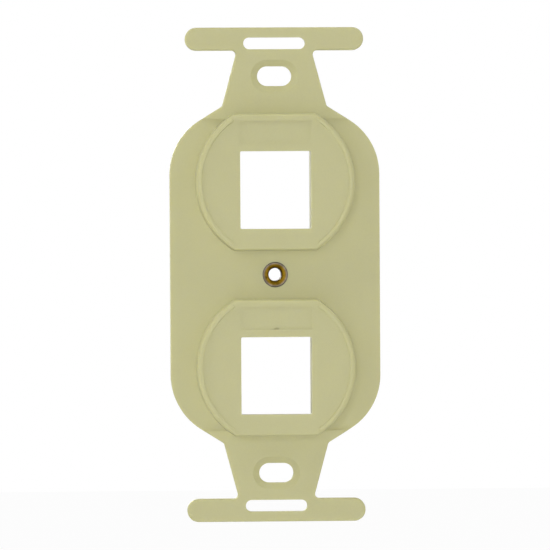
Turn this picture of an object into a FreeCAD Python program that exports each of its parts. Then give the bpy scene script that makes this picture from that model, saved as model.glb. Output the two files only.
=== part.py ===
import FreeCAD, Part

import math
import os

import Sketcher

# Two-port mounting frame for keystone jacks, the kind that hangs on a single-gang box behind a
# duplex cover plate: one ivory moulding, and a brass insert for the cover's screw.
# Millimetres. X runs to the right seen from the front, Y into the wall and Z up. The origin is on
# the insert's axis, in the plane where the backs of the ears lie on the box.

SIZES = [
    # the plaster ears and their necks
    ("screw_spacing", 83.34, "between the two device screw slots"),
    ("ear_end", 10.22, "middle of a screw slot to the outer edge of its ear"),
    ("ear_thickness", 2.0, "ears and necks"),
    ("ear_bar_height", 4.82, "height of one cross bar"),
    ("ear_bar_length", 37.46, "length of one cross bar"),
    ("full_round", 0.49, "corner radius of a round end, as a share of the width of that end"),
    ("neck_top_width", 15.68, "where the neck meets the cross bar"),
    ("neck_foot_width", 21.95, "where the neck meets the shoulders"),
    ("neck_foot_margin", 1.5, "neck foot beyond the outer flat of a face"),
    ("neck_top_fillet", 0.9, "neck to cross bar"),
    ("neck_foot_fillet", 0.8, "neck to shoulder"),
    ("ear_round", 0.3, "front edge of the ears and necks"),
    # the plate between the necks, let back from them, and the rim behind it
    ("plate_width", 44.04, "over the straight sides"),
    ("shoulder_angle", 32.0, "degrees, shoulder slope from level"),
    ("shoulder_radius", 13.3, "shoulder into straight side"),
    ("step_setback", 1.15, "step down from the neck, inside the outer flat of a face"),
    ("step_depth", 0.6, "necks down to the plate"),
    ("plate_thickness", 2.0, "plate"),
    ("rim_margin", 0.5, "rear rim beyond the outer flat of a face"),
    ("rim_wall", 1.5, "rear rim wall"),
    ("rim_depth", 4.0, "rear rim behind the mounting plane"),
    # holes in the ears
    ("screw_slot_length", 7.2, "across the ear"),
    ("screw_slot_width", 4.15, "up and down"),
    ("dish_margin", 1.35, "dish round a screw slot, beyond its edge"),
    ("dish_depth", 0.55, "dish round a screw slot"),
    ("ear_slot_length", 12.95, "long slot in the cross bar"),
    ("ear_slot_width", 2.49, "long slot in the cross bar"),
    ("ear_slot_setback", 2.08, "outer edge of the cross bar to the long slot"),
    # the raised faces that come through the cover plate
    ("port_spacing", 38.9, "between the centres of the two faces"),
    ("face_radius", 16.85, "round sides of a face, at its foot"),
    ("face_flat_cut", 2.4, "how far each flat cuts into the circle, at its foot"),
    ("face_rise", 4.0, "face in front of the ears"),
    ("face_draft", 2.5, "degrees, walls of a face"),
    ("face_wall", 1.8, "front and side walls of a face"),
    ("face_round", 0.4, "front edge of a face"),
    ("crescent_width", 0.75, "raised rim at each side of a face"),
    ("crescent_rise", 0.35, "raised rim above the face"),
    ("crescent_reach", 56.0, "degrees, rim tips above and below the middle"),
    ("crescent_round", 0.12, "edges of the raised rim"),
    # the opening for the jack's nose, measured from the centre of its face
    ("opening_width", 14.8, "jack opening"),
    ("opening_top", 6.45, "jack opening above the centre"),
    ("opening_bottom", 9.8, "jack opening below the centre"),
    ("opening_corner", 0.3, "corner radius"),
    ("label_height", 4.76, "label recess"),
    ("label_width", 14.95, "label recess"),
    ("label_gap", 1.6, "label recess above the opening"),
    ("label_depth", 0.25, "label recess"),
    ("notch_width", 1.0, "pry notch in the lower label recess"),
    ("notch_depth", 0.9, "pry notch, from the face"),
    # the well behind the opening, depths counted from the front of the face
    ("well_relief", 0.15, "well walls behind the edge of the opening"),
    ("well_wall", 1.6, "walls of the well"),
    ("latch_lip", 4.0, "front of the latch pocket"),
    ("latch_pocket", 3.95, "latch pocket above the opening"),
    ("hook_lip", 6.5, "front of the hook groove"),
    ("hook_groove_length", 1.5, "hook groove, front to back"),
    ("hook_groove_depth", 2.0, "hook groove below the opening"),
    ("hook_clearance", 0.4, "lower catch below the edge of the opening"),
    ("catch_overhang", 2.0, "latch catch over its pocket"),
    ("catch_land", 0.8, "flat tip of a catch"),
    ("catch_lead", 1.2, "sloping lead-in behind a catch, front to back"),
    ("catch_slope", 1.0, "sloping lead-in behind a catch, up or down"),
    # the brass insert and the boss that holds it
    ("insert_length", 6.35, "end to end"),
    ("insert_proud", 0.15, "collar in front of the plate"),
    ("collar_diameter", 5.35, "collar"),
    ("collar_length", 0.8, "collar"),
    ("collar_lip", 0.225, "collar beyond the two knurled bands"),
    ("knurl_groove_depth", 0.25, "between the bands"),
    ("knurl_groove_length", 1.2, "between the bands"),
    ("knurl_groove_setback", 3.2, "groove behind the front of the insert"),
    ("bore_diameter", 2.74, "minor diameter of the 6-32 thread"),
    ("bore_chamfer", 0.2, "rear end of the bore"),
    ("mouth_ring", 0.525, "flat ring of the collar round the countersunk mouth"),
    ("mouth_depth", 0.8, "countersunk mouth"),
    ("boss_wall", 1.6, "boss round the collar"),
    ("rib_thickness", 1.2, "ribs from the boss to the rim"),
    # cuts run this far past what they cut
    ("overcut", 1.0, "past each surface"),
]

# How near a corner or a level has to be to count as the same one.
NEAR = 1e-3

doc = FreeCAD.newDocument("keystone_mounting_frame")
sheet = doc.addObject("Spreadsheet::Sheet", "Sizes")
for row, (alias, number, note) in enumerate(SIZES, 1):
    sheet.set("A%d" % row, note)
    sheet.set("B%d" % row, str(number))
    sheet.setAlias("B%d" % row, alias)
doc.recompute()


def value(expression):
    """The present value of an expression in the sheet's names."""
    return float(sheet.evalExpression(expression.replace("Sizes.", "")))


# Half widths and heights of the outline. FLAT is a face's flat above or below the face's centre.
FLAT = "(Sizes.face_radius - Sizes.face_flat_cut)"
OUTER_FLAT = "(Sizes.port_spacing / 2 + Sizes.face_radius - Sizes.face_flat_cut)"
EAR_EDGE = "(Sizes.screw_spacing / 2 + Sizes.ear_end)"
BAR_EDGE = "(%s - Sizes.ear_bar_height)" % EAR_EDGE
BAR_END = "(Sizes.ear_bar_length / 2)"
SIDE = "(Sizes.plate_width / 2)"
FOOT_X = "(Sizes.neck_foot_width / 2)"
FOOT_Z = "(%s + Sizes.neck_foot_margin)" % OUTER_FLAT
STEP_Z = "(%s - Sizes.step_setback)" % OUTER_FLAT
RIM_Z = "(%s + Sizes.rim_margin)" % OUTER_FLAT
SLOPE = "tan(Sizes.shoulder_angle)"
SHOULDER_Z = "(%s - (%s - %s) * %s)" % (FOOT_Z, SIDE, FOOT_X, SLOPE)

# Depths, counted forward from the mounting plane.
EAR_FRONT = "Sizes.ear_thickness"
PLATE_FRONT = "(%s - Sizes.step_depth)" % EAR_FRONT
PLATE_REAR = "(%s - Sizes.plate_thickness)" % PLATE_FRONT
RIM_REAR = "-Sizes.rim_depth"
FACE_FRONT = "(%s + Sizes.face_rise)" % EAR_FRONT
CRESCENT_FRONT = "(%s + Sizes.crescent_rise)" % FACE_FRONT
CATCH_FRONT = "(Sizes.hook_lip + Sizes.hook_groove_length)"
CATCH_LAND_END = "(%s + Sizes.catch_land)" % CATCH_FRONT
WELL_DEPTH = "(%s + Sizes.catch_lead)" % CATCH_LAND_END
WELL_REAR = "(%s - %s)" % (FACE_FRONT, WELL_DEPTH)
INSERT_FRONT = "(%s + Sizes.insert_proud)" % PLATE_FRONT
INSERT_REAR = "(%s - Sizes.insert_length)" % INSERT_FRONT

# A face's walls lean in by this much from their foot at the mounting plane to the front edge.
FACE_LEAN = "(%s * tan(Sizes.face_draft))" % FACE_FRONT


def minus(expression):
    return "-(%s)" % expression


def new_body(label):
    body = doc.addObject("PartDesign::Body", label)
    body.Label = label
    return body


def new_sketch(body, name, plane, forward=None, raised=None):
    """A sketch on one of the body's own planes, moved along its normal and up by expressions."""
    sketch = body.newObject("Sketcher::SketchObject", name)
    support = [item for item in body.Origin.OriginFeatures if item.Role == plane][0]
    sketch.AttachmentSupport = [(support, "")]
    sketch.MapMode = "FlatFace"
    if forward:
        sketch.setExpression("AttachmentOffset.Base.z", forward)
    if raised:
        sketch.setExpression("AttachmentOffset.Base.y", raised)
    return sketch


def tie(sketch, kind, elements, expression):
    """A sketch dimension driven by the sheet."""
    index = sketch.addConstraint(Sketcher.Constraint(kind, *elements, value(expression)))
    sketch.setExpression("Constraints[%d]" % index, expression)


def tie_point(sketch, geometry, end, across, up):
    """Places one end of a line or arc, or its centre, from the sketch's origin."""
    for kind, expression in (("DistanceX", across), ("DistanceY", up)):
        if expression == "0":
            axis = -2 if kind == "DistanceX" else -1
            sketch.addConstraint(Sketcher.Constraint("PointOnObject", geometry, end, axis))
        else:
            tie(sketch, kind, (-1, 1, geometry, end), expression)


def polygon(sketch, corners):
    """A closed outline of straight lines, each corner given by two expressions."""
    points = [FreeCAD.Vector(value(across), value(up), 0) for across, up in corners]
    lines = []
    for start, end in zip(points, points[1:] + points[:1]):
        lines.append(sketch.addGeometry(Part.LineSegment(start, end), False))
    for line, following in zip(lines, lines[1:] + lines[:1]):
        sketch.addConstraint(Sketcher.Constraint("Coincident", line, 2, following, 1))
    for line, (across, up) in zip(lines, corners):
        tie_point(sketch, line, 1, across, up)


def rectangle(sketch, left, right, bottom, top):
    polygon(sketch, [(left, bottom), (right, bottom), (right, top), (left, top)])


def disc(sketch, diameter):
    circle = Part.Circle(FreeCAD.Vector(0, 0, 0), FreeCAD.Vector(0, 0, 1), value(diameter) / 2)
    index = sketch.addGeometry(circle, False)
    sketch.addConstraint(Sketcher.Constraint("Coincident", index, 3, -1, 1))
    tie(sketch, "Diameter", (index,), diameter)


def arc(sketch, across, up, radius, start, end):
    """An arc, anticlockwise between two angles in degrees, held by its centre and radius."""
    centre = FreeCAD.Vector(value(across), value(up), 0)
    circle = Part.Circle(centre, FreeCAD.Vector(0, 0, 1), value(radius))
    piece = Part.ArcOfCircle(circle, math.radians(start), math.radians(end))
    index = sketch.addGeometry(piece, False)
    tie_point(sketch, index, 3, across, up)
    tie(sketch, "Radius", (index,), radius)
    return index


def join(sketch, first, first_end, second, second_end, kind="Coincident"):
    sketch.addConstraint(Sketcher.Constraint(kind, first, first_end, second, second_end))


def line_between(sketch, first, first_end, second, second_end, kind="Coincident"):
    """A line from the end of one arc to the end of another."""
    start = sketch.getPoint(first, first_end)
    end = sketch.getPoint(second, second_end)
    line = sketch.addGeometry(Part.LineSegment(start, end), False)
    join(sketch, line, 1, first, first_end, kind)
    join(sketch, line, 2, second, second_end, kind)
    return line


def line_out(sketch, first, first_end, across, up):
    """A line that leaves the end of an arc smoothly and ends at a given point."""
    start = sketch.getPoint(first, first_end)
    end = FreeCAD.Vector(value(across), value(up), 0)
    line = sketch.addGeometry(Part.LineSegment(start, end), False)
    join(sketch, line, 1, first, first_end, "Tangent")
    tie_point(sketch, line, 2, across, up)
    return line


def obround(sketch, length, width):
    """A level slot with round ends, centred on the sketch's origin."""
    radius = "(%s) / 2" % width
    reach = "(%s - %s) / 2" % (length, width)
    right = arc(sketch, reach, "0", radius, -90, 90)
    left = arc(sketch, minus(reach), "0", radius, 90, 270)
    line_between(sketch, right, 2, left, 1, "Tangent")
    line_between(sketch, left, 2, right, 1, "Tangent")


def extrude(kind, body, name, rear, front, draw, raised=None):
    """A pad or pocket between two depths. A pad grows forward and a pocket cuts backward."""
    start = rear if kind == "Pad" else front
    sketch = new_sketch(body, name + "_sketch", "XZ_Plane", start, raised)
    draw(sketch)
    feature = body.newObject("PartDesign::" + kind, name)
    feature.Profile = sketch
    feature.setExpression("Length", "(%s) - (%s)" % (front, rear))
    sketch.Visibility = False
    doc.recompute()
    return feature


def pad(*details, **more):
    return extrude("Pad", *details, **more)


def pocket(*details, **more):
    return extrude("Pocket", *details, **more)


def edges_along_depth(feature, corners):
    """Names of the edges that run front to back through the given corners."""
    wanted = [(value(across), value(up)) for across, up in corners]
    names = []
    for number, edge in enumerate(feature.Shape.Edges, 1):
        box = edge.BoundBox
        if box.XLength > NEAR or box.ZLength > NEAR:
            continue
        if any(math.hypot(box.XMin - x, box.ZMin - z) < NEAR for x, z in wanted):
            names.append("Edge%d" % number)
    return names


def edges_at_depth(feature, forward, accept):
    """Names of the edges that lie flat at one depth and whose bounding box is accepted."""
    level = -value(forward)
    names = []
    for number, edge in enumerate(feature.Shape.Edges, 1):
        box = edge.BoundBox
        if abs(box.YMin - level) < NEAR and abs(box.YMax - level) < NEAR and accept(box):
            names.append("Edge%d" % number)
    return names


def within(centre, reach):
    """Accepts what lies no further above or below a height than a reach."""
    low = value("%s - %s" % (centre, reach)) - NEAR
    high = value("%s + %s" % (centre, reach)) + NEAR
    return lambda box: low < box.ZMin and box.ZMax < high


def fillet(body, name, base, edges, radius):
    feature = body.newObject("PartDesign::Fillet", name)
    feature.Base = (base, edges)
    feature.setExpression("Radius", radius)
    doc.recompute()
    return feature


def four_ways(corners):
    """Corners in the upper right quarter, repeated in the other three, in order round the middle."""
    top_left = [(minus(across), up) for across, up in reversed(corners)]
    bottom_left = [(minus(across), minus(up)) for across, up in corners]
    bottom_right = [(across, minus(up)) for across, up in reversed(corners)]
    return corners + top_left + bottom_left + bottom_right


def turn(kind, body, name, corners, raised=None):
    """A revolved shape or cut round a level axis, from a half section given as depth and radius."""
    sketch = new_sketch(body, name + "_sketch", "YZ_Plane", raised=raised)
    polygon(sketch, corners)
    feature = body.newObject("PartDesign::" + kind, name)
    feature.Profile = sketch
    feature.ReferenceAxis = (sketch, ["H_Axis"])
    feature.Angle = 360
    sketch.Visibility = False
    doc.recompute()
    return feature


def cut_across(body, name, width, draw, raised):
    """A cut drawn in side view that runs across the middle, half of its width to each side."""
    sketch = new_sketch(body, name + "_sketch", "YZ_Plane", raised=raised)
    draw(sketch)
    feature = body.newObject("PartDesign::Pocket", name)
    feature.Profile = sketch
    feature.SideType = "Symmetric"
    feature.setExpression("Length", width)
    sketch.Visibility = False
    doc.recompute()
    return feature


# The moulding's blank: the whole outline, as deep as the rear rim.
frame = new_body("mounting_frame")
side_corner = (SIDE, SHOULDER_Z)
foot_corner = (FOOT_X, FOOT_Z)
neck_corner = ("Sizes.neck_top_width / 2", BAR_EDGE)
bar_corners = [(BAR_END, BAR_EDGE), (BAR_END, EAR_EDGE)]
outline = four_ways([side_corner, foot_corner, neck_corner] + bar_corners)
blank = pad(frame, "blank", RIM_REAR, EAR_FRONT, lambda sketch: polygon(sketch, outline))

for name, corners, radius in (
    ("shoulders", [side_corner], "Sizes.shoulder_radius"),
    ("neck_feet", [foot_corner], "Sizes.neck_foot_fillet"),
    ("neck_tops", [neck_corner], "Sizes.neck_top_fillet"),
    ("bar_ends", bar_corners, "Sizes.full_round * Sizes.ear_bar_height"),
):
    blank = fillet(frame, name, blank, edges_along_depth(blank, four_ways(corners)), radius)

# Behind, the ears are cut back to the mounting plane, and only the plate keeps its rim.
past_bar = BAR_END + " + Sizes.overcut"
past_ear = EAR_EDGE + " + Sizes.overcut"
for name, low, high in (
    ("upper_ear_back", RIM_Z, past_ear),
    ("lower_ear_back", minus(past_ear), minus(RIM_Z)),
):
    pocket(frame, name, RIM_REAR + " - Sizes.overcut", "0", lambda sketch: rectangle(
        sketch, minus(past_bar), past_bar, low, high))

# In front, the plate is let back from the necks by one step.
past_side = SIDE + " + Sizes.overcut"
step = pocket(frame, "plate_step", PLATE_FRONT, EAR_FRONT, lambda sketch: rectangle(
    sketch, minus(past_side), past_side, minus(STEP_Z), STEP_Z))
beyond_step = value(STEP_Z) + NEAR
fillet(frame, "ear_round", step, edges_at_depth(
    step, EAR_FRONT, lambda box: box.ZMax > beyond_step or box.ZMin < -beyond_step), "Sizes.ear_round")

# The hollow inside the rim, down to the plate. Its edges run parallel to the outline.
INNER_SIDE = "(%s - Sizes.rim_wall)" % SIDE
INNER_TOP = "(%s - Sizes.rim_wall)" % RIM_Z
SLOPE_COSINE = "cos(Sizes.shoulder_angle)"
ARC_X = "(%s - Sizes.shoulder_radius)" % SIDE
ARC_Z = "(%s - (%s - %s) * %s - Sizes.shoulder_radius / %s)" % (
    FOOT_Z, ARC_X, FOOT_X, SLOPE, SLOPE_COSINE)
TOP_CORNER_X = "(%s + (%s - Sizes.rim_wall / %s - %s) / %s)" % (
    FOOT_X, FOOT_Z, SLOPE_COSINE, INNER_TOP, SLOPE)


def hollow_outline(sketch):
    radius = "Sizes.shoulder_radius - Sizes.rim_wall"
    turned = 90 - value("Sizes.shoulder_angle")
    arcs = []
    for across, up, start in (
        (ARC_X, ARC_Z, 0),
        (minus(ARC_X), ARC_Z, 180 - turned),
        (minus(ARC_X), minus(ARC_Z), 180),
        (ARC_X, minus(ARC_Z), -turned),
    ):
        arcs.append(arc(sketch, across, up, radius, start, start + turned))
    top_right = line_out(sketch, arcs[0], 2, TOP_CORNER_X, INNER_TOP)
    top_left = line_out(sketch, arcs[1], 1, minus(TOP_CORNER_X), INNER_TOP)
    bottom_left = line_out(sketch, arcs[2], 2, minus(TOP_CORNER_X), minus(INNER_TOP))
    bottom_right = line_out(sketch, arcs[3], 1, TOP_CORNER_X, minus(INNER_TOP))
    line_between(sketch, top_right, 2, top_left, 2)
    line_between(sketch, bottom_left, 2, bottom_right, 2)
    line_between(sketch, arcs[1], 2, arcs[2], 1, "Tangent")
    line_between(sketch, arcs[3], 2, arcs[0], 1, "Tangent")


pocket(frame, "rear_hollow", RIM_REAR + " - Sizes.overcut", PLATE_REAR, hollow_outline)

# Long slots in the cross bars, and the device screw slots with a shallow dish round each.
long_slot_height = "(%s - Sizes.ear_slot_setback - Sizes.ear_slot_width / 2)" % EAR_EDGE
for place, sign in (("upper", "1"), ("lower", "-1")):
    pocket(frame, place + "_ear_slot", "-Sizes.overcut", EAR_FRONT,
           lambda sketch: obround(sketch, "Sizes.ear_slot_length", "Sizes.ear_slot_width"),
           raised="%s * %s" % (sign, long_slot_height))
    slot_height = "%s * Sizes.screw_spacing / 2" % sign
    slot = pocket(frame, place + "_screw_slot", "-Sizes.overcut", EAR_FRONT,
                  lambda sketch: obround(sketch, "Sizes.screw_slot_length", "Sizes.screw_slot_width"),
                  raised=slot_height)
    dish = frame.newObject("PartDesign::Chamfer", place + "_dish")
    dish.Base = (slot, edges_at_depth(slot, EAR_FRONT, within(slot_height, "Sizes.screw_slot_width / 2")))
    dish.ChamferType = "Two distances"
    dish.setExpression("Size", "Sizes.dish_margin")
    dish.setExpression("Size2", "Sizes.dish_depth")
    doc.recompute()

CRESCENT_OUTER = "(Sizes.face_radius - %s - Sizes.face_round)" % FACE_LEAN
CRESCENT_INNER = "(%s - Sizes.crescent_width)" % CRESCENT_OUTER
WELL_SIDE = "(Sizes.opening_width / 2 + Sizes.well_relief)"
WELL_OUTSIDE = "(%s + Sizes.well_wall)" % WELL_SIDE


def flats(sketch, outward):
    """Side view of what is cut off a face's circle, outside down to the neck and inside to the plate."""
    front = "(%s + Sizes.overcut)" % FACE_FRONT
    for side, foot in ((outward, EAR_FRONT), (minus(outward), PLATE_FRONT)):
        past = "%s * (Sizes.face_radius + Sizes.overcut)" % side
        polygon(sketch, [
            (minus(foot), "%s * (%s - %s * tan(Sizes.face_draft))" % (side, FLAT, foot)),
            (minus(front), "%s * (%s - %s * tan(Sizes.face_draft))" % (side, FLAT, front)),
            (minus(front), past),
            (minus(foot), past),
        ])


def crescents(sketch):
    """The two raised rims: bands along the face's round sides."""
    reach = value("Sizes.crescent_reach")
    for middle in (0, 180):
        arcs = []
        for radius in (CRESCENT_OUTER, CRESCENT_INNER):
            band = arc(sketch, "0", "0", radius, middle - reach, middle + reach)
            for end in (1, 2):
                height = "%s * sin(Sizes.crescent_reach)" % radius
                if sketch.getPoint(band, end).y < 0:
                    height = minus(height)
                tie(sketch, "DistanceY", (-1, 1, band, end), height)
            arcs.append(band)
        line_between(sketch, arcs[0], 1, arcs[1], 1)
        line_between(sketch, arcs[0], 2, arcs[1], 2)


def crescent_tips(centre):
    """The eight corners of the two bands, for their round tips."""
    corners = []
    for radius in (CRESCENT_OUTER, CRESCENT_INNER):
        for side in ("1", "-1"):
            across = "%s * %s * cos(Sizes.crescent_reach)" % (side, radius)
            for way in ("+", "-"):
                corners.append((across, "%s %s %s * sin(Sizes.crescent_reach)" % (centre, way, radius)))
    return corners


def side_hollows(sketch):
    """Behind a face, the hollows between its round walls and the sides of the well."""
    radius = "(Sizes.face_radius - %s - Sizes.face_wall)" % FACE_LEAN
    half_angle = math.degrees(math.acos(value(WELL_OUTSIDE) / value(radius)))
    for middle, across in ((0, WELL_OUTSIDE), (180, minus(WELL_OUTSIDE))):
        wall = arc(sketch, "0", "0", radius, middle - half_angle, middle + half_angle)
        line = line_between(sketch, wall, 2, wall, 1)
        sketch.addConstraint(Sketcher.Constraint("Vertical", line))
        tie(sketch, "DistanceX", (-1, 1, line, 1), across)


def well_side_view(sketch):
    """Front to back: a hooked groove below, a latch pocket above, and a catch behind each."""
    def behind(depth):
        return "(%s) - %s" % (depth, FACE_FRONT)

    start = "Sizes.face_wall"
    past = WELL_DEPTH + " + Sizes.overcut"
    top = "Sizes.opening_top + Sizes.well_relief"
    pocket_top = "Sizes.opening_top + Sizes.latch_pocket"
    catch_top = pocket_top + " - Sizes.catch_overhang"
    bottom = "-Sizes.opening_bottom - Sizes.well_relief"
    groove = "-Sizes.opening_bottom - Sizes.hook_groove_depth"
    catch_bottom = "-Sizes.opening_bottom - Sizes.hook_clearance"
    polygon(sketch, [
        (behind(start), bottom),
        (behind("Sizes.hook_lip"), bottom),
        (behind("Sizes.hook_lip"), groove),
        (behind(CATCH_FRONT), groove),
        (behind(CATCH_FRONT), catch_bottom),
        (behind(CATCH_LAND_END), catch_bottom),
        (behind(WELL_DEPTH), catch_bottom + " - Sizes.catch_slope"),
        (behind(past), catch_bottom + " - Sizes.catch_slope"),
        (behind(past), catch_top + " + Sizes.catch_slope"),
        (behind(WELL_DEPTH), catch_top + " + Sizes.catch_slope"),
        (behind(CATCH_LAND_END), catch_top),
        (behind(CATCH_FRONT), catch_top),
        (behind(CATCH_FRONT), pocket_top),
        (behind("Sizes.latch_lip"), pocket_top),
        (behind("Sizes.latch_lip"), top),
        (behind(start), top),
    ])


LABEL_FOOT = "(Sizes.opening_top + Sizes.label_gap)"

for place, outward in (("upper", "1"), ("lower", "-1")):
    centre = "%s * Sizes.port_spacing / 2" % outward
    between_flats = within(centre, FLAT)

    # the raised face: a drafted disc with a flat above and below
    face = turn("Revolution", frame, place + "_face", [
        ("0", "0"),
        ("0", "Sizes.face_radius"),
        (minus(FACE_FRONT), "Sizes.face_radius - " + FACE_LEAN),
        (minus(FACE_FRONT), "0"),
    ], raised=centre)
    fillet(frame, place + "_face_round", face, edges_at_depth(
        face, FACE_FRONT, within(centre, "Sizes.face_radius")), "Sizes.face_round")
    face = cut_across(frame, place + "_face_flats", "2 * (Sizes.face_radius + Sizes.overcut)",
                      lambda sketch: flats(sketch, outward), raised=centre)
    fillet(frame, place + "_flat_round", face, edges_at_depth(
        face, FACE_FRONT, lambda box: between_flats(box) and box.ZLength < NEAR), "Sizes.face_round")

    # its two raised rims
    rims = pad(frame, place + "_crescents", FACE_FRONT, CRESCENT_FRONT, crescents, raised=centre)
    rims = fillet(frame, place + "_crescent_tips", rims, edges_along_depth(rims, crescent_tips(centre)),
                  "Sizes.full_round * Sizes.crescent_width")
    fillet(frame, place + "_crescent_round", rims, edges_at_depth(rims, CRESCENT_FRONT, between_flats),
           "Sizes.crescent_round")

    # the hollows behind it, and the well for the jack
    pocket(frame, place + "_side_hollows", RIM_REAR + " - Sizes.overcut",
           "(%s - Sizes.face_wall)" % FACE_FRONT, side_hollows, raised=centre)
    pad(frame, place + "_well", WELL_REAR, "0", lambda sketch: rectangle(
        sketch, minus(WELL_OUTSIDE), WELL_OUTSIDE,
        "-Sizes.opening_bottom - Sizes.hook_groove_depth - Sizes.well_wall",
        "Sizes.opening_top + Sizes.latch_pocket + Sizes.well_wall"), raised=centre)
    opening = pocket(frame, place + "_opening", WELL_REAR + " - Sizes.overcut", CRESCENT_FRONT,
                     lambda sketch: rectangle(
                         sketch, "-Sizes.opening_width / 2", "Sizes.opening_width / 2",
                         "-Sizes.opening_bottom", "Sizes.opening_top"), raised=centre)
    corners = []
    for across in ("-Sizes.opening_width / 2", "Sizes.opening_width / 2"):
        corners.append((across, centre + " - Sizes.opening_bottom"))
        corners.append((across, centre + " + Sizes.opening_top"))
    fillet(frame, place + "_opening_corners", opening, edges_along_depth(opening, corners),
           "Sizes.opening_corner")
    cut_across(frame, place + "_well_inside", "2 * " + WELL_SIDE, well_side_view, raised=centre)

    # the recess for a label
    pocket(frame, place + "_label", FACE_FRONT + " - Sizes.label_depth", CRESCENT_FRONT,
           lambda sketch: rectangle(
               sketch, "-Sizes.label_width / 2", "Sizes.label_width / 2",
               LABEL_FOOT, LABEL_FOOT + " + Sizes.label_height"), raised=centre)


def half_disc(sketch):
    half_round = arc(sketch, "0", "0", "Sizes.notch_width / 2", 0, 180)
    line = line_between(sketch, half_round, 2, half_round, 1)
    sketch.addConstraint(Sketcher.Constraint("PointOnObject", half_round, 1, -1))
    sketch.addConstraint(Sketcher.Constraint("PointOnObject", line, 1, -1))


pocket(frame, "pry_notch", FACE_FRONT + " - Sizes.notch_depth", FACE_FRONT, half_disc,
       raised="-Sizes.port_spacing / 2 + " + LABEL_FOOT)

# The boss behind the plate and its two ribs, which run into the rim's walls.
pad(frame, "insert_boss", INSERT_REAR, "0", lambda sketch: disc(
    sketch, "Sizes.collar_diameter + 2 * Sizes.boss_wall"))
rib_end = INNER_SIDE + " + Sizes.rim_wall / 2"
pad(frame, "boss_ribs", RIM_REAR, "0", lambda sketch: rectangle(
    sketch, minus(rib_end), rib_end, "-Sizes.rib_thickness / 2", "Sizes.rib_thickness / 2"))


def insert_outside():
    """Half section of the insert's outside, rear to front, as depth and radius."""
    front = minus(INSERT_FRONT)
    rear = minus(INSERT_REAR)
    collar_rear = front + " + Sizes.collar_length"
    groove_front = front + " + Sizes.knurl_groove_setback"
    groove_rear = groove_front + " + Sizes.knurl_groove_length"
    collar = "Sizes.collar_diameter / 2"
    knurl = collar + " - Sizes.collar_lip"
    groove = knurl + " - Sizes.knurl_groove_depth"
    return [
        (rear, knurl),
        (groove_rear, knurl),
        (groove_rear, groove),
        (groove_front, groove),
        (groove_front, knurl),
        (collar_rear, knurl),
        (collar_rear, collar),
        (front, collar),
    ]


# The insert's seat in the boss has the insert's own outside.
turn("Groove", frame, "insert_seat", insert_outside() + [
    (minus(INSERT_FRONT), "0"),
    (minus(INSERT_REAR), "0"),
])

# The insert: knurled bands, a collar, a countersunk mouth and a bore at the thread's crests.
insert = new_body("threaded_insert")
bore = "Sizes.bore_diameter / 2"
turn("Revolution", insert, "insert_turned", insert_outside() + [
    (minus(INSERT_FRONT), "Sizes.collar_diameter / 2 - Sizes.mouth_ring"),
    (minus(INSERT_FRONT) + " + Sizes.mouth_depth", bore),
    (minus(INSERT_REAR) + " - Sizes.bore_chamfer", bore),
    (minus(INSERT_REAR), bore + " + Sizes.bore_chamfer"),
])


def check(body):
    """Stops on a failed feature, or on a pad that adds nothing or a cut that removes nothing."""
    volume = 0.0
    for item in body.Group:
        if "Invalid" in item.State or "Error" in item.State:
            raise RuntimeError("%s failed" % item.Name)
        if not item.isDerivedFrom("PartDesign::Feature"):
            continue
        change = item.Shape.Volume - volume
        volume = item.Shape.Volume
        adds = item.TypeId in ("PartDesign::Pad", "PartDesign::Revolution")
        cuts = item.TypeId in ("PartDesign::Pocket", "PartDesign::Groove", "PartDesign::Chamfer")
        if (adds and change <= 0) or (cuts and change >= 0):
            raise RuntimeError("%s changed the volume by %.3f" % (item.Name, change))
    shape = body.Shape
    if shape.isNull() or not shape.isValid() or len(shape.Solids) != 1:
        raise RuntimeError("%s is not one sound solid" % body.Label)


doc.recompute()
os.makedirs("parts", exist_ok=True)
for body in (frame, insert):
    check(body)
for body in (frame, insert):
    body.Shape.exportStep("parts/%s.step" % body.Label)
    box = body.Shape.optimalBoundingBox(False, False)
    print("%s: %.2f x %.2f x %.2f mm, %.1f mm3" % (
        body.Label, box.XLength, box.YLength, box.ZLength, body.Shape.Volume))
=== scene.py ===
import math

import bpy
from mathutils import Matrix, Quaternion, Vector


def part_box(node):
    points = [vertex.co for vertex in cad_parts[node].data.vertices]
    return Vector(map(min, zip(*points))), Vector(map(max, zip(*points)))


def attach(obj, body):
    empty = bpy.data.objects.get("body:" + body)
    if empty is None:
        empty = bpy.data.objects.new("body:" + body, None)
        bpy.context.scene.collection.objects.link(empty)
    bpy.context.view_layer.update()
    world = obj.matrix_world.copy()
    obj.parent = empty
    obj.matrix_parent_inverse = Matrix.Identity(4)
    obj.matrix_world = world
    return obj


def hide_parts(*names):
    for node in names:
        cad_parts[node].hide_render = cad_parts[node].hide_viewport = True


# sizes are in metres, as the frame's are
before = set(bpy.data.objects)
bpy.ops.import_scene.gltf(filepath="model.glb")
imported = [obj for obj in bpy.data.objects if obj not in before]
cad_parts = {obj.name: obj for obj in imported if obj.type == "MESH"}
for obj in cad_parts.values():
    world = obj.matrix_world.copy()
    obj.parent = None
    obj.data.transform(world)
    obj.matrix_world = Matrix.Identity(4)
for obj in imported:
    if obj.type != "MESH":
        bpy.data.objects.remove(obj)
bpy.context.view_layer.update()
bpy.ops.object.select_all(action="DESELECT")

# The camera stands a metre in front of the frame, a little to its left and above, and looks at
# the middle of the threaded insert. It is turned a third of a degree, as the photograph is.
CAMERA_DISTANCE = 1.0
CAMERA_LEFT = math.radians(2.5)
CAMERA_ABOVE = math.radians(1.05)
CAMERA_TURN = math.radians(-0.323)
CAMERA_AIM = Vector((0.00001, 0.0, -0.00011))
NEAREST_SEEN = 0.01
FARTHEST_SEEN = 20.0
PICTURE_PIXELS = 550
PIXELS_PER_METRE = 4753.4
SENSOR_WIDTH_MM = 36.0

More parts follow.
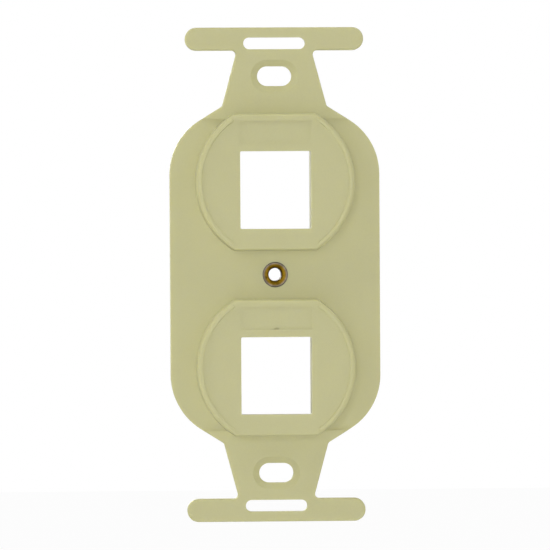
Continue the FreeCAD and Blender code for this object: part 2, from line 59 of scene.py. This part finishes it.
camera_data = bpy.data.cameras.new("camera")
camera = bpy.data.objects.new("camera", camera_data)
bpy.context.scene.collection.objects.link(camera)
bpy.context.scene.camera = camera
camera_back = Vector((-math.cos(CAMERA_ABOVE) * math.sin(CAMERA_LEFT),
                      -math.cos(CAMERA_ABOVE) * math.cos(CAMERA_LEFT),
                      math.sin(CAMERA_ABOVE)))
camera_level = (-camera_back).to_track_quat("-Z", "Y")
camera.location = CAMERA_AIM + CAMERA_DISTANCE * camera_back
camera.rotation_mode = "QUATERNION"
camera.rotation_quaternion = camera_level @ Quaternion((0, 0, 1), CAMERA_TURN)
camera_data.lens = SENSOR_WIDTH_MM * PIXELS_PER_METRE * CAMERA_DISTANCE / PICTURE_PIXELS
camera_data.sensor_width = SENSOR_WIDTH_MM
camera_data.clip_start = NEAREST_SEEN
camera_data.clip_end = FARTHEST_SEEN

# The moulding: ivory thermoplastic, shot in one piece from a tool with a fine sparked finish. It
# is slightly translucent, which warms its shadows, and its tone drifts a little along the flow.
IVORY = (0.520, 0.503, 0.262)
TRANSLUCENCY = 0.3
LIGHT_REACH = 0.003
LIGHT_REACH_BY_COLOUR = (1.0, 0.9, 0.35)
FLOW_MARKS_PER_METRE = 45.0
FLOW_DETAIL = 3.0
FLOW_BEND = 0.6
FLOW_TONE = 0.012
SPARK_SIZE = 0.00035
SPARK_DETAIL = 2.0
SPARK_DEPTH = 0.000004
SPARK_RELIEF = 0.5
SPARK_TONE = 0.02
IVORY_ROUGHNESS = (0.5, 0.68)

# a noise texture seldom leaves this span
NOISE_SPAN = (0.25, 0.75)


def cloudy_pattern(tree, place, per_metre, detail):
    """Noise that is fixed to the piece, with about that many clouds in a metre."""
    noise = tree.nodes.new("ShaderNodeTexNoise")
    noise.inputs["Scale"].default_value = per_metre
    noise.inputs["Detail"].default_value = detail
    tree.links.new(place.outputs["Object"], noise.inputs["Vector"])
    return noise


def stretch(tree, value, low, high, start=0.0, end=1.0):
    """Turns a value that runs from start to end into one that runs from low to high."""
    span = tree.nodes.new("ShaderNodeMapRange")
    span.inputs["From Min"].default_value = start
    span.inputs["From Max"].default_value = end
    span.inputs["To Min"].default_value = low
    span.inputs["To Max"].default_value = high
    tree.links.new(value, span.inputs["Value"])
    return span.outputs["Result"]


def combine(tree, operation, first, second):
    """The product, or the larger, of two values."""
    pair = tree.nodes.new("ShaderNodeMath")
    pair.operation = operation
    tree.links.new(first, pair.inputs[0])
    tree.links.new(second, pair.inputs[1])
    return pair.outputs["Value"]


ivory = bpy.data.materials.new("ivory_plastic")
ivory.use_nodes = True
tree = ivory.node_tree
shader = tree.nodes["Principled BSDF"]
shader.inputs["Subsurface Weight"].default_value = TRANSLUCENCY
shader.inputs["Subsurface Radius"].default_value = LIGHT_REACH_BY_COLOUR
shader.inputs["Subsurface Scale"].default_value = LIGHT_REACH
place = tree.nodes.new("ShaderNodeTexCoord")
flow = cloudy_pattern(tree, place, FLOW_MARKS_PER_METRE, FLOW_DETAIL)
flow.inputs["Distortion"].default_value = FLOW_BEND
sparks = cloudy_pattern(tree, place, 1.0 / SPARK_SIZE, SPARK_DETAIL)
tone = stretch(tree, flow.outputs["Fac"], 1.0 - FLOW_TONE, 1.0 + FLOW_TONE, *NOISE_SPAN)
speckle = stretch(tree, sparks.outputs["Fac"], 1.0 - SPARK_TONE, 1.0 + SPARK_TONE, *NOISE_SPAN)
colour = tree.nodes.new("ShaderNodeVectorMath")
colour.operation = "SCALE"
colour.inputs[0].default_value = IVORY
tree.links.new(combine(tree, "MULTIPLY", tone, speckle), colour.inputs["Scale"])
tree.links.new(colour.outputs["Vector"], shader.inputs["Base Color"])
gloss = stretch(tree, sparks.outputs["Fac"], *IVORY_ROUGHNESS)
tree.links.new(gloss, shader.inputs["Roughness"])
relief = tree.nodes.new("ShaderNodeBump")
relief.inputs["Strength"].default_value = SPARK_RELIEF
relief.inputs["Distance"].default_value = SPARK_DEPTH
tree.links.new(sparks.outputs["Fac"], relief.inputs["Height"])
tree.links.new(relief.outputs["Normal"], shader.inputs["Normal"])

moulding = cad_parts["mounting_frame"]
moulding.data.materials.clear()
moulding.data.materials.append(ivory)

# The threaded insert: a brass bush turned from bar, knurled in two bands with a groove between
# them, countersunk, and tapped right through for the cover's 6-32 screw. It is pressed into the
# boss until its collar stands just proud of the plate.
bush_low, bush_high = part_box("threaded_insert")
BUSH_FRONT = bush_low.y
BUSH_REAR = bush_high.y
COLLAR_RADIUS = bush_high.x
COLLAR_LENGTH = 0.0008
COLLAR_OVER_BANDS = 0.000225
BAND_RADIUS = COLLAR_RADIUS - COLLAR_OVER_BANDS
GROOVE_SETBACK = 0.0032
GROOVE_LENGTH = 0.0012
GROOVE_DEPTH = 0.00025
GROOVE_FRONT = BUSH_FRONT + GROOVE_SETBACK
GROOVE_REAR = GROOVE_FRONT + GROOVE_LENGTH
GROOVE_RADIUS = BAND_RADIUS - GROOVE_DEPTH
BORE_RADIUS = 0.00137
BORE_CHAMFER = 0.0002
LIP_WIDTH = 0.000525
LIP_ROUND = 0.00016
LIP_FACETS = 4
MOUTH_RADIUS = COLLAR_RADIUS - LIP_WIDTH
MOUTH_SLOPE = MOUTH_RADIUS - BORE_RADIUS
MOUTH_DEPTH = 0.0008
# the countersink's curve from the bore up to the lip: shares of its depth and of its slope
MOUTH_CURVE = ((1.00, 0.00), (0.70, 0.15), (0.45, 0.42), (0.24, 0.74), (0.10, 1.00))
ROUND_VERTICES = 120
SMOOTH_BELOW = math.radians(30)
MICRON = 0.000001

# half section: up the countersink, over the rounded lip, back along the outside to the bore
lip_crest = MOUTH_RADIUS + 0.45 * LIP_WIDTH
bush_section = [(BUSH_FRONT + depth * MOUTH_DEPTH, BORE_RADIUS + outward * MOUTH_SLOPE)
                for depth, outward in MOUTH_CURVE]
bush_section.append((BUSH_FRONT + 0.02 * MOUTH_DEPTH, MOUTH_RADIUS + 0.25 * LIP_WIDTH))
for step in range(LIP_FACETS + 1):
    turn = math.pi / 2 * step / LIP_FACETS
    bush_section.append((BUSH_FRONT + LIP_ROUND * (1.0 - math.cos(turn)),
                         lip_crest + (COLLAR_RADIUS - lip_crest) * math.sin(turn)))
bush_section += [
    (BUSH_FRONT + COLLAR_LENGTH, COLLAR_RADIUS),
    (BUSH_FRONT + COLLAR_LENGTH, BAND_RADIUS),
    (GROOVE_FRONT, BAND_RADIUS),
    (GROOVE_FRONT, GROOVE_RADIUS),
    (GROOVE_REAR, GROOVE_RADIUS),
    (GROOVE_REAR, BAND_RADIUS),
    (BUSH_REAR, BAND_RADIUS),
    (BUSH_REAR, BORE_RADIUS + BORE_CHAMFER),
    (BUSH_REAR - BORE_CHAMFER, BORE_RADIUS),
    (BUSH_FRONT + MOUTH_DEPTH, BORE_RADIUS),
]
bpy.ops.mesh.primitive_circle_add(vertices=ROUND_VERTICES, radius=BORE_RADIUS,
                                  location=(0.0, BUSH_FRONT + MOUTH_DEPTH, 0.0),
                                  rotation=(math.pi / 2, 0.0, 0.0))
bush = bpy.context.object
bush.name = "tapped_insert"
bpy.ops.object.transform_apply(location=True, rotation=True, scale=True)
bpy.ops.object.mode_set(mode="EDIT")
for (depth, radius), (next_depth, next_radius) in zip(bush_section, bush_section[1:]):
    travel = (0.0, next_depth - depth, 0.0)
    growth = next_radius / radius
    bpy.ops.mesh.extrude_edges_move(TRANSFORM_OT_translate={"value": travel})
    bpy.ops.transform.resize(value=(growth, 1.0, growth),
                             center_override=(0.0, next_depth, 0.0))
bpy.ops.mesh.select_all(action="SELECT")
bpy.ops.mesh.remove_doubles(threshold=MICRON)
bpy.ops.mesh.normals_make_consistent(inside=False)
bpy.ops.object.mode_set(mode="OBJECT")


def select_points(piece, wanted):
    """Opens the piece in edit mode with only the wanted points selected."""
    bpy.context.view_layer.objects.active = piece
    bpy.ops.object.mode_set(mode="EDIT")
    bpy.ops.mesh.select_all(action="DESELECT")
    bpy.ops.object.mode_set(mode="OBJECT")
    for vertex in piece.data.vertices:
        vertex.select = wanted(vertex.co)
    bpy.ops.object.mode_set(mode="EDIT")


def in_knurl_furrow(point):
    """Every other line of points along the two bands lies in a furrow of the knurl."""
    line = round(math.atan2(point.z, point.x) / math.tau * ROUND_VERTICES)
    return line % 2 == 1 and abs(math.hypot(point.x, point.z) - BAND_RADIUS) < MICRON


KNURL_DEPTH = 0.00008
pressed = 1.0 - KNURL_DEPTH / BAND_RADIUS
select_points(bush, in_knurl_furrow)
bpy.ops.transform.resize(value=(pressed, 1.0, pressed), center_override=(0.0, 0.0, 0.0))
bpy.ops.object.mode_set(mode="OBJECT")

# the tap: a trapezoid swept along the thread's helix, which starts and ends outside the bush
INCH = 0.0254
THREAD_PITCH = INCH / 32
THREAD_MAJOR_RADIUS = 0.138 * INCH / 2
THREAD_FLANK = math.radians(30)
THREAD_STEPS = 48
ROOT_WIDTH = THREAD_PITCH / 8
CUT_INTO_BORE = 0.00012
CUT_RADIUS = BORE_RADIUS - CUT_INTO_BORE
CUT_HEIGHT = THREAD_MAJOR_RADIUS - CUT_RADIUS
CUT_WIDTH = ROOT_WIDTH + 2 * CUT_HEIGHT * math.tan(THREAD_FLANK)
TAP_OVERRUN = 0.6 * THREAD_PITCH
TAP_START = BUSH_FRONT - TAP_OVERRUN
TAP_LENGTH = BUSH_REAR - BUSH_FRONT + 2 * TAP_OVERRUN
bpy.ops.mesh.primitive_plane_add(size=1.0, location=(CUT_RADIUS + CUT_HEIGHT / 2, TAP_START, 0.0))
tap = bpy.context.object
tap.scale = (CUT_HEIGHT, ROOT_WIDTH, 1.0)
bpy.ops.object.transform_apply(location=True, rotation=True, scale=True)
select_points(tap, lambda point: point.x < BORE_RADIUS)
bpy.ops.transform.resize(value=(1.0, CUT_WIDTH / ROOT_WIDTH, 1.0),
                         center_override=(0.0, TAP_START, 0.0))
bpy.ops.mesh.select_all(action="SELECT")
bpy.ops.mesh.delete(type="ONLY_FACE")
bpy.ops.object.mode_set(mode="OBJECT")
sweep = tap.modifiers.new("helix", "SCREW")
sweep.axis = "Y"
sweep.screw_offset = THREAD_PITCH
sweep.iterations = math.ceil(TAP_LENGTH / THREAD_PITCH)
sweep.steps = sweep.render_steps = THREAD_STEPS
sweep.use_merge_vertices = True
bpy.ops.object.modifier_apply(modifier=sweep.name)
bpy.ops.object.mode_set(mode="EDIT")
bpy.ops.mesh.select_all(action="SELECT")
bpy.ops.mesh.fill_holes(sides=4)
bpy.ops.mesh.normals_make_consistent(inside=False)
bpy.ops.object.mode_set(mode="OBJECT")

bpy.context.view_layer.objects.active = bush
tapping = bush.modifiers.new("tapping", "BOOLEAN")
tapping.object = tap
tapping.solver = "EXACT"
bpy.ops.object.modifier_apply(modifier=tapping.name)
bpy.data.objects.remove(tap)

# the cut leaves slivers thinner than a micron, which are merged away
bpy.ops.object.select_all(action="DESELECT")
bush.select_set(True)
bpy.ops.object.mode_set(mode="EDIT")
bpy.ops.mesh.select_all(action="SELECT")
bpy.ops.mesh.remove_doubles(threshold=MICRON)
bpy.ops.mesh.dissolve_degenerate(threshold=MICRON)
bpy.ops.object.mode_set(mode="OBJECT")
bpy.ops.object.shade_smooth_by_angle(angle=SMOOTH_BELOW)
bush.select_set(False)

# tapped threads and the countersink stay brassy, and the handled lip has gone dull
BRASS = (0.290, 0.175, 0.013)
DULL_BRASS = (0.145, 0.125, 0.100)
DULL_FROM = MOUTH_RADIUS - 0.3 * LIP_WIDTH
DULL_TO = MOUTH_RADIUS + 0.5 * LIP_WIDTH
DULL_EXTRA_ROUGHNESS = 0.25
BRASS_ROUGHNESS = (0.22, 0.40)
TARNISH_PATCHES_PER_METRE = 900.0
TARNISH_DETAIL = 3.0
TARNISH_TONE = (0.5, 1.5)
# painted shade: how dark the brass is painted at the bore, and the radius where that painted shade
# has faded out
BORE_PAINTED_SHADE = 0.30
BORE_PAINTED_SHADE_EDGE = BORE_RADIUS + 0.5 * MOUTH_SLOPE
# a ring for each tenth of a millimetre
TOOL_MARK_SCALE = 3000.0
TOOL_MARK_WAVER = 2.0
TOOL_MARK_RELIEF = 0.25
TOOL_MARK_DEPTH = 0.000004

brass = bpy.data.materials.new("turned_brass")
brass.use_nodes = True
tree = brass.node_tree
shader = tree.nodes["Principled BSDF"]
shader.inputs["Metallic"].default_value = 1.0
place = tree.nodes.new("ShaderNodeTexCoord")
tarnish = cloudy_pattern(tree, place, TARNISH_PATCHES_PER_METRE, TARNISH_DETAIL)

# the distance from the insert's axis tells the bore, the countersink and the lip apart
across = tree.nodes.new("ShaderNodeVectorMath")
across.operation = "MULTIPLY"
across.inputs[1].default_value = (1.0, 0.0, 1.0)
tree.links.new(place.outputs["Object"], across.inputs[0])
from_axis = tree.nodes.new("ShaderNodeVectorMath")
from_axis.operation = "LENGTH"
tree.links.new(across.outputs["Vector"], from_axis.inputs[0])
handled = stretch(tree, from_axis.outputs["Value"], 0.0, 1.0, DULL_FROM, DULL_TO)
metal = tree.nodes.new("ShaderNodeMix")
metal.data_type = "RGBA"
metal.inputs["A"].default_value = (*BRASS, 1.0)
metal.inputs["B"].default_value = (*DULL_BRASS, 1.0)
tree.links.new(handled, metal.inputs["Factor"])

# tarnish mottles the metal, and painted shade darkens the bore and the foot of the countersink
tone = stretch(tree, tarnish.outputs["Fac"], *TARNISH_TONE, *NOISE_SPAN)
painted_bore_shade = stretch(tree, from_axis.outputs["Value"], BORE_PAINTED_SHADE, 1.0, BORE_RADIUS, BORE_PAINTED_SHADE_EDGE)
colour = tree.nodes.new("ShaderNodeVectorMath")
colour.operation = "SCALE"
tree.links.new(metal.outputs["Result"], colour.inputs[0])
tree.links.new(combine(tree, "MULTIPLY", tone, painted_bore_shade), colour.inputs["Scale"])
tree.links.new(colour.outputs["Vector"], shader.inputs["Base Color"])

# the lip is rougher as well
gloss = stretch(tree, tarnish.outputs["Fac"], *BRASS_ROUGHNESS)
worn = tree.nodes.new("ShaderNodeMath")
worn.operation = "MULTIPLY_ADD"
worn.inputs[1].default_value = DULL_EXTRA_ROUGHNESS
tree.links.new(handled, worn.inputs[0])
tree.links.new(gloss, worn.inputs[2])
tree.links.new(worn.outputs["Value"], shader.inputs["Roughness"])

# fine rings that the turning tool left
turning = tree.nodes.new("ShaderNodeTexWave")
turning.wave_type = "RINGS"
turning.rings_direction = "Y"
turning.inputs["Scale"].default_value = TOOL_MARK_SCALE
turning.inputs["Distortion"].default_value = TOOL_MARK_WAVER
tree.links.new(place.outputs["Object"], turning.inputs["Vector"])
marks = tree.nodes.new("ShaderNodeBump")
marks.inputs["Strength"].default_value = TOOL_MARK_RELIEF
marks.inputs["Distance"].default_value = TOOL_MARK_DEPTH
tree.links.new(turning.outputs["Fac"], marks.inputs["Height"])
tree.links.new(marks.outputs["Normal"], shader.inputs["Normal"])

bush.data.materials.append(brass)
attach(bush, "root")
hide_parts("threaded_insert")

# The stage: a pale floor well below the frame, a white surround, and plain soft light. A lamp near
# the camera carries most of it, and one above it to the left throws the soft shadows. Two that
# graze the plate from the upper corners light the walls of the raised faces, and one is behind.
SURROUND = 0.18
LAMP_DISTANCE = 2.0
LAMPS = (
    # name, direction it stands in, diameter, share of the full light on what faces it
    ("front_lamp", (-0.03, -1.0, 0.02), 0.2, 0.335),
    ("shadow_lamp", (-0.26, -1.0, 0.28), 0.4, 0.10),
    ("upper_left_lamp", (-5.5, -1.0, 4.5), 1.0, 0.42),
    ("upper_right_lamp", (5.5, -1.0, 4.5), 1.0, 0.26),
    ("rear_lamp", (-0.3, 1.0, 0.3), 0.9, 0.5),
)
FLOOR_DEPTH = 0.30
FLOOR_SIZE = 8.0
FLOOR_GREY = 0.85
FLOOR_ROUGHNESS = 0.9
FLOOR_GLOW = 0.97


def backdrop_rays(tree):
    """1 for the rays that show the white backdrop, 0 for those that carry its light."""
    paths = tree.nodes.new("ShaderNodeLightPath").outputs
    seen = combine(tree, "MAXIMUM", paths["Is Camera Ray"], paths["Is Transmission Ray"])
    return combine(tree, "MAXIMUM", seen, paths["Is Glossy Ray"])


world = bpy.data.worlds.new("surround")
bpy.context.scene.world = world
world.use_nodes = True
tree = world.node_tree
surround = tree.nodes["Background"]
surround.inputs["Color"].default_value = (1.0, 1.0, 1.0, 1.0)
strength = stretch(tree, backdrop_rays(tree), SURROUND, 1.0)
tree.links.new(strength, surround.inputs["Strength"])

for name, toward, diameter, share in LAMPS:
    lamp_data = bpy.data.lights.new(name, "AREA")
    lamp_data.shape = "DISK"
    lamp_data.size = diameter
    # a disc of this power lights what faces it squarely, at that distance, by the given share
    lamp_data.energy = share * math.pi * math.pi * LAMP_DISTANCE ** 2
    lamp = bpy.data.objects.new(name, lamp_data)
    bpy.context.scene.collection.objects.link(lamp)
    lamp.location = Vector(toward).normalized() * LAMP_DISTANCE
    lamp.rotation_mode = "QUATERNION"
    lamp.rotation_quaternion = lamp.location.to_track_quat("Z", "Y")

bpy.ops.mesh.primitive_plane_add(size=FLOOR_SIZE, location=(0.0, 0.0, -FLOOR_DEPTH))
floor = bpy.context.object
floor.name = "floor"
pale = bpy.data.materials.new("pale_floor")
pale.use_nodes = True
tree = pale.node_tree
plain = tree.nodes["Principled BSDF"]
plain.inputs["Base Color"].default_value = (FLOOR_GREY, FLOOR_GREY, FLOOR_GREY, 1.0)
plain.inputs["Roughness"].default_value = FLOOR_ROUGHNESS
glow = tree.nodes.new("ShaderNodeEmission")
glow.inputs["Strength"].default_value = 1.0
mix = tree.nodes.new("ShaderNodeMixShader")
tree.links.new(stretch(tree, backdrop_rays(tree), 0.0, FLOOR_GLOW), mix.inputs["Fac"])
tree.links.new(plain.outputs["BSDF"], mix.inputs[1])
tree.links.new(glow.outputs["Emission"], mix.inputs[2])
tree.links.new(mix.outputs["Shader"], tree.nodes["Material Output"].inputs["Surface"])
floor.data.materials.append(pale)

bpy.context.scene.view_settings.view_transform = "Standard"
